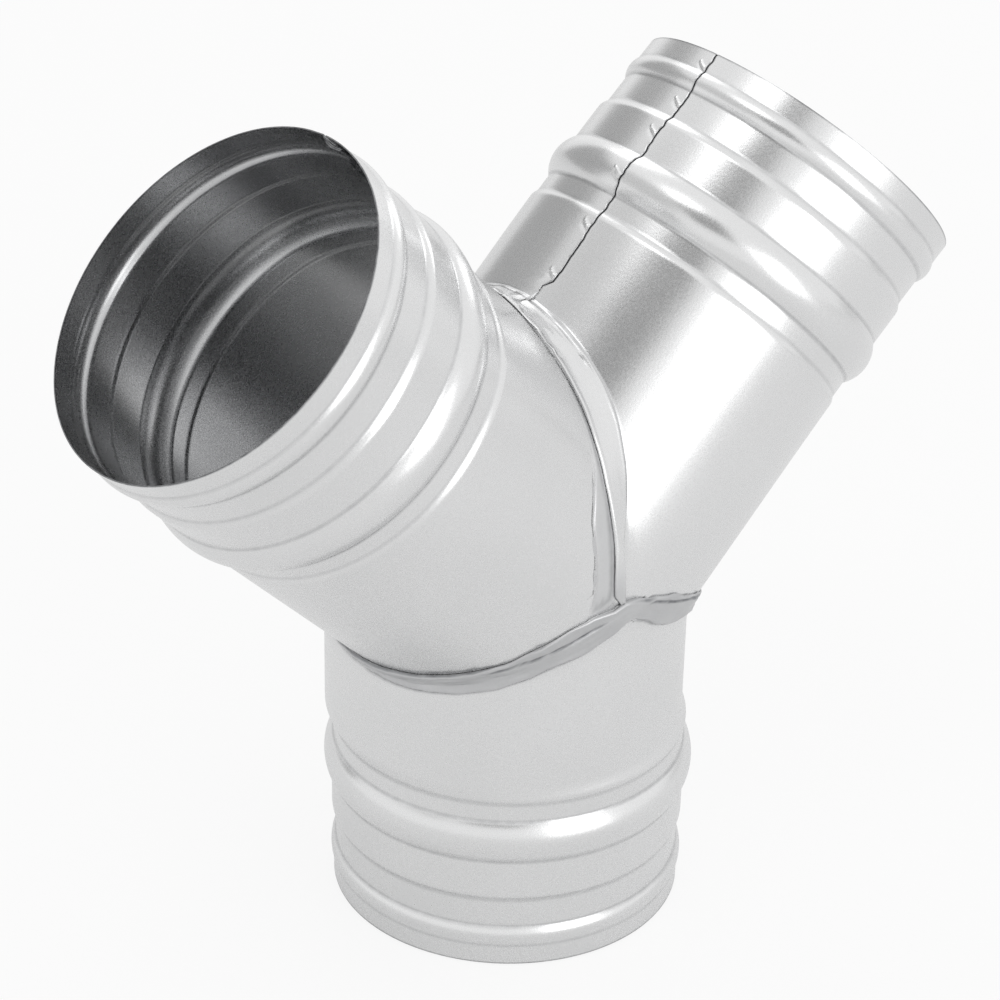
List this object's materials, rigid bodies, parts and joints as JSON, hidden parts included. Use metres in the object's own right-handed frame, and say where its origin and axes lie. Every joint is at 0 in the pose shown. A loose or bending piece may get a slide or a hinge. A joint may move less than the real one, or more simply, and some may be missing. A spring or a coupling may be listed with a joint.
{
  "type": "duct wye",
  "caption": "Equal duct wye of galvanised sheet, its trunk and both branches rolled from sheet, with beaded collars and folded lock seams.",
  "frame": {"origin": "middle of the trunk's open end, in the plane of its rim", "axes": "+Z along the trunk towards the branches; +X towards the right branch, as seen from -Y; both branch axes lie in the XZ plane"},
  "size_m": [0.3874, 0.1556, 0.3537],
  "materials": {
    "trunk_sheet": "galvanised, drawn grain",
    "branch_sheet": "galvanised, drawn grain"
  },
  "bodies": {
    "root": {"trunk_sleeve": "trunk_sheet", "left_branch_sleeve": "branch_sheet", "right_branch_sleeve": "branch_sheet"}
  },
  "joints": []
}
